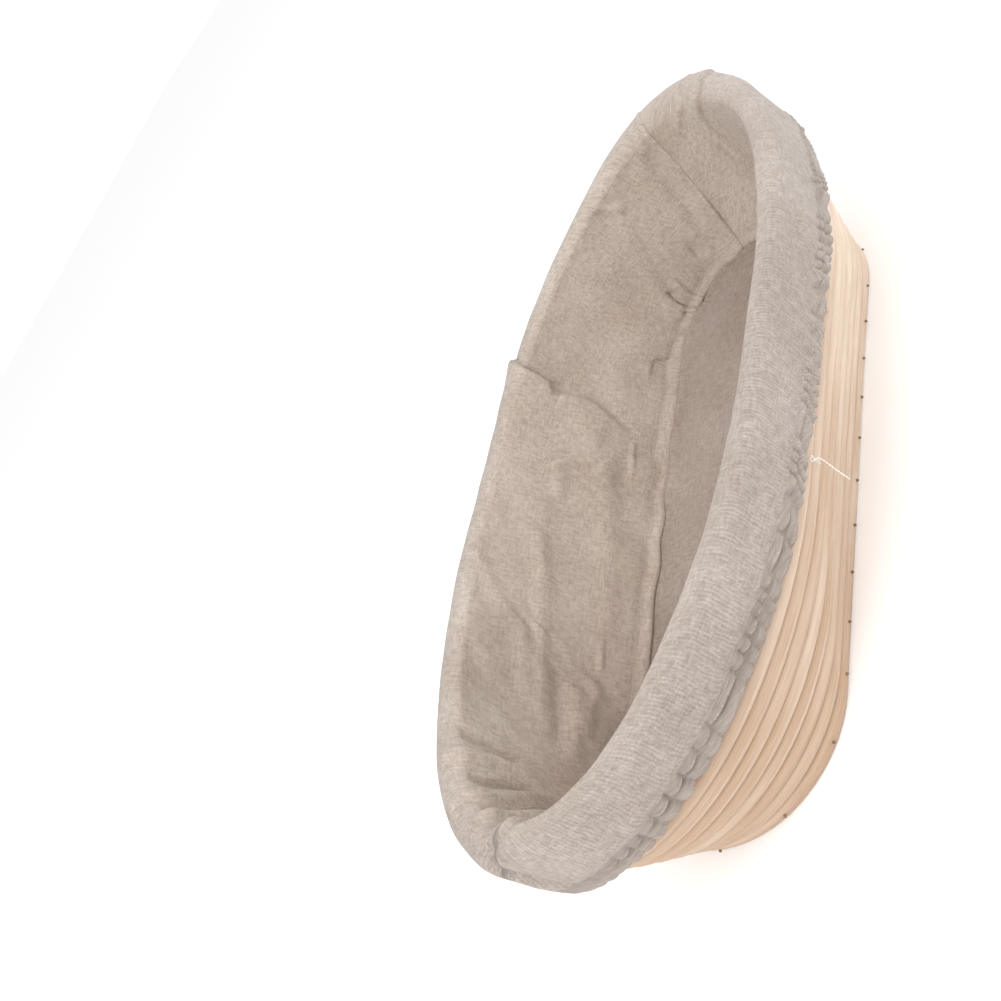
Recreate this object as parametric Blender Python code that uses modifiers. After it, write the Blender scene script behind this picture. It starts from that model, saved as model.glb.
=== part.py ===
"""Oval banneton: a bread-proofing basket coiled from rattan cane, with a removable linen liner.

The basket is one long spiral. Loops of cane round a straight core make the floor, and turns of
cane, in four lengths, climb from it to make the wall. Every lap steps up by one cane along the
back. Brads hold the canes together. The liner is two side panels that line the wall, roll over
the rim and hang down outside it as a skirt, a floor panel, and an elastic in the hem. X is the
length, Y the width and +Z up; the origin is on the ground under the middle.
"""

import math

import bmesh
import bpy
import numpy as np
from mathutils import Vector

# Driving dimensions, in metres.
RIM_HALF_LENGTH = 0.172
RIM_HALF_WIDTH = 0.0765
RIM_STRAIGHT = 0.030  # half of the straight stretch in each long side of the rim
CANE_RADIUS = 0.00365  # to the corners of a cane's eight-sided section
CANE_PITCH = 0.0076  # from one cane's centre to the next
FLOOR_LOOPS = 5
WALL_TURNS = 12
TURNS_PER_LENGTH = 3
CORE_HALF_LENGTH = 0.0927
WALL_RISE = 0.0775  # from the lowest turn's centre to the top turn's
STEP_HALF = 0.046  # a lap steps up from x = STEP_HALF to x = -STEP_HALF, along the back
FLOOR_LAG = 0.040  # how much further on the floor's loops make their step
GAP = 0.0003  # between pieces that touch
CLOTH = 0.0010
LINER_GAP = 0.0006  # between the liner and the canes
SKIRT_DROP = 0.0290  # how far the liner's hem hangs below the top of the rim
HEM_OUTWARD = 0.0028  # how far the hem's channel stands out from the rim's outer face
HEM_HEIGHT = 0.0066
SEAM_GAP = 0.00025  # from the middle of an end seam to each side panel
INNER_ROWS = 5
ELASTIC_THICKNESS = 0.0012
ELASTIC_WIDTH = 0.0030
BRAD_LENGTH = 0.0105
BRAD_RADIUS = 0.0006
BRAD_HEAD_RADIUS = 0.0009
BRAD_HEAD = 0.0006
BRAD_SIDES = 6
BRAD_HEIGHT = 0.0026
FRONT_BRADS = 10
END_BRADS = 5  # round each end
PIN_LENGTH = 0.0122

# Places that follow from them.
CANE_SIDES = 8
CANE_HALF = CANE_RADIUS * math.cos(math.pi / CANE_SIDES)
FLOOR_HALF_WIDTH = (FLOOR_LOOPS + 1) * CANE_PITCH + CANE_HALF
FLOOR_HALF_LENGTH = CORE_HALF_LENGTH + FLOOR_HALF_WIDTH
RIM_TOP = 2 * CANE_HALF + WALL_RISE
FLOOR_TOP = 2 * CANE_HALF
LINER_FLOOR = FLOOR_TOP + GAP
INSIDE = -2 * CANE_HALF - 2 * LINER_GAP  # from the wall's outer face to the liner inside it

# How finely the oval is divided, and the places of some stations in a lap.
END_STEPS = 12  # round each end
FRONT_STEPS = 2
BACK_STEPS = 12
BACK_START = END_STEPS // 2
MIDDLE = BACK_START + BACK_STEPS // 2
FLOOR_END = BACK_START + BACK_STEPS - 1  # where the wall's cane takes over from the floor's

CANE_COLOUR = (0.80, 0.60, 0.41, 1.0)
CORE_COLOUR = (0.76, 0.56, 0.37, 1.0)
LINEN_COLOUR = (0.50, 0.44, 0.38, 1.0)
LINEN_FLOOR_COLOUR = (0.46, 0.40, 0.34, 1.0)
ELASTIC_COLOUR = (0.80, 0.79, 0.76, 1.0)
STEEL_COLOUR = (0.12, 0.10, 0.09, 1.0)


def clear_scene():
    for thing in list(bpy.data.objects):
        bpy.data.objects.remove(thing, do_unlink=True)


def new_collection(name):
    collection = bpy.data.collections.new(name)
    bpy.context.scene.collection.children.link(collection)
    return collection


def new_material(name, colour, roughness, metallic=0.0):
    material = bpy.data.materials.new(name)
    material.use_nodes = True
    shader = material.node_tree.nodes["Principled BSDF"]
    shader.inputs["Base Color"].default_value = colour
    shader.inputs["Roughness"].default_value = roughness
    shader.inputs["Metallic"].default_value = metallic
    return material


def smoothstep(x):
    x = min(max(x, 0.0), 1.0)
    return x * x * (3 - 2 * x)


# The oval. A station is (part, along): how far along the back or front straight from 0 to 1, or
# the angle round an end. Every outline has the same stations, so that neighbours stay parallel.


def stations():
    """One lap, anticlockwise seen from above, from the middle of the right end."""
    end_turn = 180 / END_STEPS
    right_back = [("right", end_turn * i) for i in range(END_STEPS // 2)]
    back = [("back", i / BACK_STEPS) for i in range(BACK_STEPS + 1)]
    left = [("left", 90 + end_turn * i) for i in range(1, END_STEPS)]
    front = [("front", i / FRONT_STEPS) for i in range(FRONT_STEPS + 1)]
    right_front = [("right", end_turn * i - 90) for i in range(1, END_STEPS // 2)]
    return right_back + back + left + front + right_front


def oval_point(station, straight, end_length, half_width):
    """A point of the oval with straight sides of 2 * straight and half-elliptical ends."""
    part, along = station
    if part == "back":
        return straight * (1 - 2 * along), half_width
    if part == "front":
        return straight * (2 * along - 1), -half_width
    angle = math.radians(along)
    end = straight if part == "right" else -straight
    return end + end_length * math.cos(angle), half_width * math.sin(angle)


def spread(share):
    """How far out the wall has come, from 0 to 1, at a share of its rise."""
    share = min(max(share, 0.0), 1.0)
    return math.sin(math.pi / 2 * share**1.15)


def wall_point(station, height, outward, at=None):
    """A point that far outside the wall's outer face, which is read at a cane centre's height."""
    out = spread((height - CANE_HALF) / WALL_RISE)
    straight = CORE_HALF_LENGTH + (RIM_STRAIGHT - CORE_HALF_LENGTH) * out
    half_length = FLOOR_HALF_LENGTH + (RIM_HALF_LENGTH - FLOOR_HALF_LENGTH) * out
    half_width = FLOOR_HALF_WIDTH + (RIM_HALF_WIDTH - FLOOR_HALF_WIDTH) * out
    x, y = oval_point(station, straight, half_length - straight + outward, half_width + outward)
    return Vector((x, y, height if at is None else at))


def turn_heights():
    """The height of each turn's centre, evenly spaced along the slope of the wall."""
    share = np.linspace(0, 1, 400)
    out = np.array([spread(s) for s in share]) * (RIM_HALF_WIDTH - FLOOR_HALF_WIDTH)
    run = np.hypot(np.diff(out), np.diff(share * WALL_RISE))
    length = np.concatenate([[0], np.cumsum(run)])
    even = np.linspace(0, length[-1], WALL_TURNS)
    return CANE_HALF + WALL_RISE * np.interp(even, length, share)


TURN_HEIGHTS = turn_heights()


def wall_centre(station, level):
    """The centre of the wall's cane at a level, which is 1 on the ground and WALL_TURNS on top."""
    height = float(np.interp(level, range(1, WALL_TURNS + 1), TURN_HEIGHTS))
    return wall_point(station, height, -CANE_HALF)


def floor_centre(station, loop):
    radius = loop * CANE_PITCH
    x, y = oval_point(station, CORE_HALF_LENGTH, radius, radius)
    return Vector((x, y, CANE_HALF))


def lap_level(centre, station, lap, lag):
    """The level of a lap's cane at a station: it rises from lap - 1 to lap along the back."""
    level = lap - 0.5
    for _ in range(3):
        place = centre(station, level)
        in_front = place.y < -GAP
        share = 1.0 if in_front else smoothstep((STEP_HALF - lag - place.x) / (2 * STEP_HALF))
        level = lap - 1 + share
    return level


def coil(centre, lag, first, start, last, stop):
    """A spiral's centre line, from station `start` of lap `first` to station `stop` of `last`."""
    ring = stations()
    line = []
    for lap in range(first, last + 1):
        begin = start if lap == first else 0
        end = stop + 1 if lap == last else len(ring)
        line += [centre(s, lap_level(centre, s, lap, lag)) for s in ring[begin:end]]
    return with_gaps(line)


def floor_line():
    """From beside the core out to the wall."""
    return coil(floor_centre, FLOOR_LAG, 1, FLOOR_END + 1, FLOOR_LOOPS + 1, FLOOR_END)


def wall_length_line(number):
    """One length of the wall's cane, counted from the ground."""
    first = (number - 1) * TURNS_PER_LENGTH + 1
    after = first + TURNS_PER_LENGTH
    start = FLOOR_END if first == 1 else MIDDLE
    stop = BACK_START - 1 if after > WALL_TURNS else MIDDLE
    return coil(wall_centre, 0.0, first, start, after, stop)


def with_gaps(line):
    """The line with both ends pulled in, so that lengths of cane meet with a gap."""
    line[0] = line[0] + (line[1] - line[0]).normalized() * GAP / 2
    line[-1] = line[-1] + (line[-2] - line[-1]).normalized() * GAP / 2
    return line


# Pieces swept along a line


def section_curve(name, corners, guides):
    data = bpy.data.curves.new(name, "CURVE")
    data.dimensions = "2D"
    spline = data.splines.new("POLY")
    spline.points.add(len(corners) - 1)
    for point, (across, up) in zip(spline.points, corners):
        point.co = (across, up, 0, 1)
    spline.use_cyclic_u = True
    guide = bpy.data.objects.new(name, data)
    guide.hide_render = True
    guide.display_type = "WIRE"
    guides.objects.link(guide)
    return guide


def cane_section(guides):
    turn = 2 * math.pi / CANE_SIDES
    angles = [turn * (i + 0.5) for i in range(CANE_SIDES)]
    corners = [(CANE_RADIUS * math.cos(a), CANE_RADIUS * math.sin(a)) for a in angles]
    return section_curve("cane_section", corners, guides)


def elastic_section(guides):
    across, up = ELASTIC_THICKNESS / 2, ELASTIC_WIDTH / 2
    corners = [(across, up), (-across, up), (-across, -up), (across, -up)]
    return section_curve("elastic_section", corners, guides)


def swept(name, line, section, material, collection, cyclic=False):
    """A section carried upright along a line, as a mesh."""
    data = bpy.data.curves.new(name, "CURVE")
    data.dimensions = "3D"
    data.twist_mode = "Z_UP"
    data.bevel_mode = "OBJECT"
    data.bevel_object = section
    data.use_fill_caps = not cyclic
    spline = data.splines.new("POLY")
    spline.points.add(len(line) - 1)
    for point, place in zip(spline.points, line):
        point.co = (*place, 1)
    spline.use_cyclic_u = cyclic
    curve = bpy.data.objects.new(name + "_line", data)
    collection.objects.link(curve)
    bpy.context.view_layer.update()
    graph = bpy.context.evaluated_depsgraph_get()
    mesh = bpy.data.meshes.new_from_object(curve.evaluated_get(graph))
    bpy.data.objects.remove(curve, do_unlink=True)
    tidy = bmesh.new()
    tidy.from_mesh(mesh)
    bmesh.ops.remove_doubles(tidy, verts=tidy.verts, dist=1e-6)
    bmesh.ops.recalc_face_normals(tidy, faces=tidy.faces)
    tidy.to_mesh(mesh)
    tidy.free()
    mesh.name = name
    mesh.materials.clear()
    mesh.materials.append(material)
    mesh.shade_smooth()
    mesh.set_sharp_from_angle(angle=math.radians(50))
    piece = bpy.data.objects.new(name, mesh)
    collection.objects.link(piece)
    return piece


def make_canes(parts, guides):
    """The core, the floor's cane and the wall's lengths. Returns {node name: object}."""
    section = cane_section(guides)
    cane = new_material("rattan", CANE_COLOUR, 0.55)
    core_cane = new_material("rattan_core", CORE_COLOUR, 0.6)
    start, end = Vector((-CORE_HALF_LENGTH, 0, CANE_HALF)), Vector((CORE_HALF_LENGTH, 0, CANE_HALF))
    canes = {"core_cane": swept("core_cane", [start, end], section, core_cane, parts)}
    canes["floor_cane"] = swept("floor_cane", floor_line(), section, cane, parts)
    for number in range(1, WALL_TURNS // TURNS_PER_LENGTH + 1):
        name = f"wall_cane_{number}"
        canes[name] = swept(name, wall_length_line(number), section, cane, parts)
    return canes


# Brads and pins


def turned(name, profile, collection):
    """A profile, given as (radius, height) from its top to its bottom, turned round Z."""
    mesh = bpy.data.meshes.new(name)
    points = [(radius, 0, height) for radius, height in profile]
    mesh.from_pydata(points, [(i, i + 1) for i in range(len(points) - 1)], [])
    piece = bpy.data.objects.new(name, mesh)
    collection.objects.link(piece)
    screw = piece.modifiers.new("turn", "SCREW")
    screw.steps = BRAD_SIDES
    screw.render_steps = BRAD_SIDES
    screw.use_merge_vertices = True
    screw.merge_threshold = 1e-5
    screw.use_smooth_shade = False
    return piece


def rod_profile(radius, top, bottom):
    return [(0, top), (radius, top), (radius, bottom), (0, bottom)]


def brad_profile():
    """A brad with the underside of its head at height 0."""
    head = [(0, BRAD_HEAD), (BRAD_HEAD_RADIUS, BRAD_HEAD), (BRAD_HEAD_RADIUS, 0)]
    return head + [(BRAD_RADIUS, 0), (BRAD_RADIUS, -BRAD_LENGTH), (0, -BRAD_LENGTH)]


def stand(piece, place, outward):
    """Puts a turned piece at a place with its top pointing outward."""
    piece.location = place
    piece.rotation_mode = "QUATERNION"
    piece.rotation_quaternion = Vector((0, 0, 1)).rotation_difference(outward)


def drill(name, place, outward, top, bottom, canes, cutters):
    """A hole for a brad or a pin through the canes that it holds."""
    cutter = turned(name, rod_profile(BRAD_RADIUS + GAP, top, bottom), cutters)
    stand(cutter, place, outward)
    cutter.hide_render = True
    cutter.display_type = "WIRE"
    for cane in canes:
        cut = cane.modifiers.new(name, "BOOLEAN")
        cut.operation = "DIFFERENCE"
        cut.solver = "EXACT"
        cut.object = cutter


def edge_brad_places():
    """[(name, place, outward)] of the brads that hold the lowest turn to the floor."""
    face = FLOOR_HALF_WIDTH + GAP
    places = []
    for i in range(FRONT_BRADS):
        x = CORE_HALF_LENGTH * (1.9 * i / (FRONT_BRADS - 1) - 0.95)
        places.append((f"front_brad_{i + 1}", Vector((x, -face, BRAD_HEIGHT)), Vector((0, -1, 0))))
    for name, side in (("left", -1), ("right", 1)):
        for i in range(END_BRADS):
            angle = math.radians(67.5 - 135 * i / (END_BRADS - 1))
            outward = Vector((side * math.cos(angle), math.sin(angle), 0))
            centre = Vector((side * CORE_HALF_LENGTH, 0, BRAD_HEIGHT))
            places.append((f"{name}_brad_{i + 1}", centre + outward * face, outward))
    return places


def make_brads(canes, parts, cutters, steel):
    edge = [canes["wall_cane_1"], canes["floor_cane"]]
    brads = []
    for name, place, outward in edge_brad_places():
        brad = turned(name, brad_profile(), parts)
        brad.data.materials.append(steel)
        stand(brad, place, outward)
        drill(name + "_hole", place, outward, BRAD_HEAD, -BRAD_LENGTH - GAP, edge, cutters)
        brads.append(brad)
    return brads


def make_pins(canes, parts, cutters, steel):
    """Two headless pins at each joint of the wall, one through the end of each length."""
    top = CANE_HALF - GAP
    hole_top = CANE_PITCH / 2
    pins = []
    for number in range(1, WALL_TURNS // TURNS_PER_LENGTH):
        lower, upper = canes[f"wall_cane_{number}"], canes[f"wall_cane_{number + 1}"]
        for name, index, through in (
            (f"end_pin_{number}", MIDDLE - 1, lower),
            (f"start_pin_{number + 1}", MIDDLE + 1, upper),
        ):
            station = stations()[index]
            level = lap_level(wall_centre, station, number * TURNS_PER_LENGTH + 1, 0.0)
            place = wall_centre(station, level)
            outward = (place - wall_centre(station, level - 1)).normalized()
            pin = turned(name, rod_profile(BRAD_RADIUS, top, top - PIN_LENGTH), parts)
            pin.data.materials.append(steel)
            stand(pin, place, outward)
            bottom = top - PIN_LENGTH - GAP
            held = [through] if through is lower else [upper, lower]
            drill(name + "_hole", place, outward, hole_top, bottom, held, cutters)
            pins.append(pin)
    return pins


# The liner


def liner_rows():
    """(outline height, outward, height) of each row of the side panels, on the cloth's cane side.

    They go up the inside of the wall, over the rim and down the outside to the hem.
    """
    rim = RIM_TOP
    bend = 0.45 * CANE_RADIUS
    shoulder = RIM_TOP - bend
    heights = np.linspace(LINER_FLOOR, shoulder - CANE_HALF, INNER_ROWS)
    rows = [(height, INSIDE, height) for height in heights]
    rows.append((rim, INSIDE, shoulder))
    rows.append((rim, INSIDE + 0.75 * CANE_RADIUS, RIM_TOP + LINER_GAP))
    rows.append((rim, -bend, RIM_TOP + LINER_GAP))
    rows.append((rim, LINER_GAP, shoulder))
    bottom = RIM_TOP - SKIRT_DROP
    rows.append((rim, LINER_GAP, bottom + HEM_HEIGHT))
    rows.append((rim, HEM_OUTWARD, bottom + 0.8 * HEM_HEIGHT))
    rows.append((rim, HEM_OUTWARD, bottom + 0.2 * HEM_HEIGHT))
    rows.append((rim, LINER_GAP, bottom))
    return rows


def panel_stations(side):
    """The stations of one side panel, from its seam at one end to its seam at the other."""
    ring = stations()
    left = ring.index(("left", 180))
    return ring[: left + 1] if side == "back" else ring[left:] + ring[:1]


def cloth_from(name, points, faces, material, collection):
    """An open surface thickened on the side away from the canes."""
    mesh = bpy.data.meshes.new(name)
    mesh.from_pydata(points, [], faces)
    mesh.materials.append(material)
    piece = bpy.data.objects.new(name, mesh)
    collection.objects.link(piece)
    thick = piece.modifiers.new("cloth", "SOLIDIFY")
    thick.thickness = CLOTH
    thick.offset = 1
    thick.use_even_offset = True
    mesh.shade_smooth()
    mesh.set_sharp_from_angle(angle=math.radians(40))
    return piece


def side_panel(side, material, collection):
    rows = liner_rows()
    ring = panel_stations(side)
    points = []
    for station in ring:
        for outline, outward, height in rows:
            point = wall_point(station, outline, outward, height)
            if station in (ring[0], ring[-1]):
                point.y = -SEAM_GAP if side == "front" else SEAM_GAP
            points.append(point)
    count = len(rows)
    faces = []
    for i in range(len(ring) - 1):
        for j in range(count - 1):
            near = i * count + j
            far = near + count
            faces.append((near, near + 1, far + 1, far))
    return cloth_from(f"liner_{side}_panel", points, faces, material, collection)


def floor_panel(material, collection):
    inward = INSIDE - CLOTH - GAP
    points = [wall_point(s, LINER_FLOOR, inward) for s in stations()]
    faces = [tuple(range(len(points)))]
    return cloth_from("liner_floor_panel", points, faces, material, collection)


def make_liner(parts, guides):
    linen = new_material("linen", LINEN_COLOUR, 0.9)
    linen_floor = new_material("linen_floor", LINEN_FLOOR_COLOUR, 0.9)
    elastic = new_material("elastic", ELASTIC_COLOUR, 0.8)
    pieces = [side_panel(side, linen, parts) for side in ("front", "back")]
    pieces.append(floor_panel(linen_floor, parts))
    outward = (LINER_GAP + HEM_OUTWARD) / 2
    height = RIM_TOP - SKIRT_DROP + HEM_HEIGHT / 2
    line = [wall_point(s, RIM_TOP, outward, height) for s in stations()]
    section = elastic_section(guides)
    pieces.append(swept("hem_elastic", line, section, elastic, parts, cyclic=True))
    return pieces


def gather_under(name, pieces, collection):
    """An empty on the lift axis that carries the pieces of one body."""
    empty = bpy.data.objects.new(name, None)
    collection.objects.link(empty)
    for piece in pieces:
        piece.parent = empty


def main():
    clear_scene()
    parts = new_collection("banneton_basket")
    guides = new_collection("guides")
    steel = new_material("brad_steel", STEEL_COLOUR, 0.5, 1.0)
    canes = make_canes(parts, guides)
    brads = make_brads(canes, parts, guides, steel)
    pins = make_pins(canes, parts, guides, steel)
    gather_under("basket", [*canes.values(), *brads, *pins], parts)
    gather_under("liner", make_liner(parts, guides), parts)


main()
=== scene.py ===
"""The oval banneton's visual model: coiled rattan cane, dark brads and a rumpled linen liner.

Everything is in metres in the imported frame: X along the basket, Y across it, +Z up out of its
mouth. A place round the oval is a share of a lap, from 0 at the middle of the right (+X) end,
anticlockwise seen from above, through 0.25 at the back and 0.5 at the left end to 1.
"""

import math

import bmesh
import bpy
import numpy as np
from mathutils import Matrix, Vector


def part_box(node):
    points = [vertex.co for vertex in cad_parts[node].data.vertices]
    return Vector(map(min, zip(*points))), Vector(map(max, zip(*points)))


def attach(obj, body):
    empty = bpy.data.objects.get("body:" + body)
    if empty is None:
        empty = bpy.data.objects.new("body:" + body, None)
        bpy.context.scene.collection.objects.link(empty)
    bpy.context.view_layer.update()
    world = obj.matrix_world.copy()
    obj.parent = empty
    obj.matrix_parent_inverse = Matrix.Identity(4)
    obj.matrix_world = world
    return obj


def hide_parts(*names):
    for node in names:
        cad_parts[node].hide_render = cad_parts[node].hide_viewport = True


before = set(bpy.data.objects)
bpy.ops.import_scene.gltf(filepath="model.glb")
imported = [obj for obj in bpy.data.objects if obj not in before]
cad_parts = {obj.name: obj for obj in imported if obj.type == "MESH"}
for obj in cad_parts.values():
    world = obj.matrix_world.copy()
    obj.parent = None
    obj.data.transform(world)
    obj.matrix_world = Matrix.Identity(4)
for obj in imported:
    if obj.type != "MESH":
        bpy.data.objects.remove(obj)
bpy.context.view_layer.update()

# The wood's sizes, from the frame.
core_low, core_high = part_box("core_cane")
rim_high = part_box("wall_cane_4")[1]
CANE = core_high[2] - core_low[2]
CORE_HALF_LENGTH = core_high[0]
RIM_HALF_LENGTH = rim_high[0]
RIM_HALF_WIDTH = rim_high[1]
RIM_TOP = rim_high[2]
RIM_STRAIGHT = 0.030  # half the length of the rim's straight sides
CANE_PITCH = 0.0076  # between two loops of the floor
FLOOR_LOOPS = 5
WALL_TURNS = 12
TURNS_PER_LENGTH = 3
STEP_HALF = 0.046  # half the length of a step up to the next turn, along the back
FLOOR_LAG = 0.040  # how far to the left the floor's steps come after the wall's
FLOOR_HALF_WIDTH = (FLOOR_LOOPS + 1) * CANE_PITCH + CANE / 2
FLOOR_HALF_LENGTH = CORE_HALF_LENGTH + FLOOR_HALF_WIDTH
WALL_RISE = RIM_TOP - CANE

# The liner.
CLOTH = 0.0011
LINER_FLOOR = 0.0155  # the liner's floor hangs this high: it isn't pressed down into the basket
FLOOR_TILT = 0.050  # and higher towards the right end
ROLL = CANE / 2 + 0.0011  # radius of the cloth's roll over the top turn of cane
SEAM_CLEARANCE = 0.0030  # between the floor seam and the wood
ROLL_START = math.radians(156)  # where the sloping inside runs into the roll
SKIRT_HEM = RIM_TOP - 0.0250  # height of the elastic
RUFFLE = 0.0048  # cloth below the elastic
FLOOR_PANEL_WIDTH = 0.08  # flat
ELASTIC_HALF_WIDTH = 0.0011
ELASTIC_THICKNESS = 0.0004
THREAD_RADIUS = 0.00022
LINER_COLUMNS = 1300
INNER_ROWS = 90
ROLL_ROWS = 12
SKIRT_ROWS = 38
RUFFLE_ROWS = 8
RIGHT_SEAM = 0.012  # the laps where the two side panels meet
LEFT_SEAM = 0.492

# The camera.
CAMERA_TURN = 36.01  # degrees, of its view from +Y towards +X
CAMERA_DOWN = 24.83
CAMERA_ROLL = 59.0
CAMERA_DISTANCE = 0.550
CAMERA_AIM = Vector((0.0222, 0.1193, 0.0493))
CAMERA_LENS = 42.4
CAMERA_SENSOR = 36.0


def smooth(share):
    share = np.clip(share, 0, 1)
    return share * share * (3 - 2 * share)


def mix(a, b, share):
    return a + (b - a) * share


def noise(u, v, seed):
    """Smooth noise from -1 to 1 with its bumps about 1 apart."""
    size = 128
    lattice = np.random.default_rng(seed).uniform(-1, 1, (size, size))
    u, v = np.broadcast_arrays(u, v)
    i, j = np.floor(u).astype(int), np.floor(v).astype(int)
    a, b = smooth(u - i), smooth(v - j)
    near = mix(lattice[i % size, j % size], lattice[(i + 1) % size, j % size], a)
    far = mix(lattice[i % size, (j + 1) % size], lattice[(i + 1) % size, (j + 1) % size], a)
    return mix(near, far, b)


# The basket's shape


def oval(lap, straight, end_length, half_width):
    """(x, y) on an oval with straight sides of 2 * straight and half-elliptical ends."""
    corners = [0, 0.125, 0.375, 0.625, 0.875, 1]
    angle = np.interp(lap % 1, corners, np.pi * np.array([0, 0.5, 0.5, 1.5, 1.5, 2]))
    middle = np.interp(lap % 1, corners, [1, 1, -1, -1, 1, 1]) * straight
    return middle + end_length * np.cos(angle), half_width * np.sin(angle)


def spread(height):
    """How far out the wall has come at a cane centre's height, from 0 to 1."""
    share = np.clip((height - CANE / 2) / WALL_RISE, 0, 1)
    return np.sin(np.pi / 2 * share**1.15)


def wall(lap, height, outward):
    """(x, y) that far outside the wall's outer face, which is read at a cane centre's height."""
    out = spread(height)
    straight = mix(CORE_HALF_LENGTH, RIM_STRAIGHT, out)
    half_length = mix(FLOOR_HALF_LENGTH, RIM_HALF_LENGTH, out)
    half_width = mix(FLOOR_HALF_WIDTH, RIM_HALF_WIDTH, out)
    return oval(lap, straight, half_length - straight + outward, half_width + outward)


def turn_heights():
    """The height of each turn's centre, evenly spaced along the slope of the wall."""
    height = CANE / 2 + np.linspace(0, WALL_RISE, 400)
    out = spread(height) * (RIM_HALF_WIDTH - FLOOR_HALF_WIDTH)
    length = np.concatenate([[0], np.cumsum(np.hypot(np.diff(out), np.diff(height)))])
    return np.interp(np.linspace(0, length[-1], WALL_TURNS), length, height)


TURN_HEIGHTS = turn_heights()


def wall_centre(lap, level):
    height = np.interp(level, np.arange(1, WALL_TURNS + 1), TURN_HEIGHTS)
    x, y = wall(lap, height, -CANE / 2)
    return np.stack([x, y, height], -1)


def floor_centre(lap, level):
    radius = level * CANE_PITCH
    x, y = oval(lap, CORE_HALF_LENGTH, radius, radius)
    return np.stack([x, y, np.full_like(x, CANE / 2)], -1)


def coil_levels(centre, turns, lag):
    """The level along a spiral, which steps up by one along the back in each lap."""
    done = np.floor(turns)
    level = done + 0.5
    for _ in range(3):
        x, y, _z = np.moveaxis(centre(turns, level), -1, 0)
        share = np.where(y < -CANE / 10, 1.0, smooth((STEP_HALF - lag - x) / (2 * STEP_HALF)))
        level = done + share
    return level


# Meshes


def grid_faces(rows, columns, wraps):
    """Quads, as rows of four indices, over a grid whose index runs along the columns first."""
    i, j = np.mgrid[0 : rows - 1, 0 : columns if wraps else columns - 1]
    near, far, after = i * columns, (i + 1) * columns, (j + 1) % columns
    return np.stack([near + j, near + after, far + after, far + j], -1).reshape(-1, 4)


def grid_mesh(name, points, uv, tube=False):
    """A smooth mesh over points[row, column], with uv in metres. A tube's columns run round it,
    its uv has one column more, and it is capped at both ends."""
    rows, columns = points.shape[:2]
    faces = grid_faces(rows, columns, tube).tolist()
    uv_columns = columns + 1 if tube else columns
    corners = uv.reshape(-1, 2)[grid_faces(rows, uv_columns, False)].reshape(-1, 2)
    if tube:
        faces.append(list(range(columns)))
        faces.append(list(range(rows * columns - 1, (rows - 1) * columns - 1, -1)))
        ends = np.repeat([uv[0, 0], uv[-1, 0]], columns, axis=0)
        corners = np.concatenate([corners, ends])
    mesh = bpy.data.meshes.new(name)
    mesh.from_pydata(points.reshape(-1, 3).tolist(), [], faces)
    layer = mesh.uv_layers.new(name="metres")
    layer.data.foreach_set("uv", corners.astype(np.float32).ravel())
    mesh.shade_smooth()
    return mesh


def add_piece(name, mesh, material, body):
    piece = bpy.data.objects.new(name, mesh)
    bpy.context.scene.collection.objects.link(piece)
    mesh.materials.append(material)
    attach(piece, body)
    return piece


def face_outward(mesh, join_within=0.0):
    """Turn every face outwards, after joining any points closer than join_within."""
    work = bmesh.new()
    work.from_mesh(mesh)
    if join_within:
        bmesh.ops.remove_doubles(work, verts=work.verts, dist=join_within)
    bmesh.ops.recalc_face_normals(work, faces=work.faces)
    work.to_mesh(mesh)
    work.free()


# Canes

CANE_STEPS = 150  # in a lap
CANE_SIDES = 16
CANE_FLATNESS = 2.5  # exponent of a cane's section: 2 is an ellipse
CANE_FILL = 0.0151  # across two canes along the slope, so that neighbours just touch
CANE_GAP = 0.0001  # of a lap, left free at each end of a length
FLOOR_START = 0.375  # where the floor's cane leaves the core
MIDDLE_OF_BACK = 0.25
FLOOR_END = 0.125 + 0.25 * 11 / 12  # where the wall's cane takes over from the floor's
WALL_END = 0.125 * 75 / 90  # the share of a lap that the top length runs on past its last turn


def cane_mesh(name, centre, start, stop, lag, seed):
    """One length of cane from turn `start` to turn `stop` of its spiral."""
    turns = np.linspace(start, stop, int((stop - start) * CANE_STEPS))
    level = coil_levels(centre, turns, lag)
    middle = centre(turns, level)
    along = np.gradient(middle, axis=0)
    along /= np.linalg.norm(along, axis=1, keepdims=True)
    up = centre(turns, level + 0.5) - centre(turns, level - 0.5)
    up -= (up * along).sum(1, keepdims=True) * along
    up /= np.linalg.norm(up, axis=1, keepdims=True)
    out = np.cross(along, up)
    length = np.concatenate([[0], np.cumsum(np.linalg.norm(np.diff(middle, axis=0), axis=1))])
    angle = np.linspace(0, 2 * np.pi, CANE_SIDES + 1)
    power = 2 / CANE_FLATNESS
    across = np.sign(np.cos(angle)) * np.abs(np.cos(angle)) ** power * CANE / 2
    rise = np.sign(np.sin(angle)) * np.abs(np.sin(angle)) ** power * CANE_FILL / 4
    # A cane is never quite even: it swells and thins a little as it goes.
    swell = 1 + 0.018 * noise(length / 0.035, 0.5, seed)[:, None]
    lean = 0.00012 * noise(length / 0.05, 7.5, seed)[:, None, None]
    ring = slice(0, CANE_SIDES)
    points = (
        middle[:, None, :]
        + out[:, None, :] * (across[ring] * swell)[:, :, None]
        + up[:, None, :] * rise[ring][None, :, None]
        + out[:, None, :] * lean
    )
    around = angle / (2 * np.pi)
    uv = np.stack(np.broadcast_arrays(length[:, None] + seed, around[None, :]), -1)
    mesh = grid_mesh(name, points, uv, tube=True)
    face_outward(mesh)
    return mesh


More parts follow.
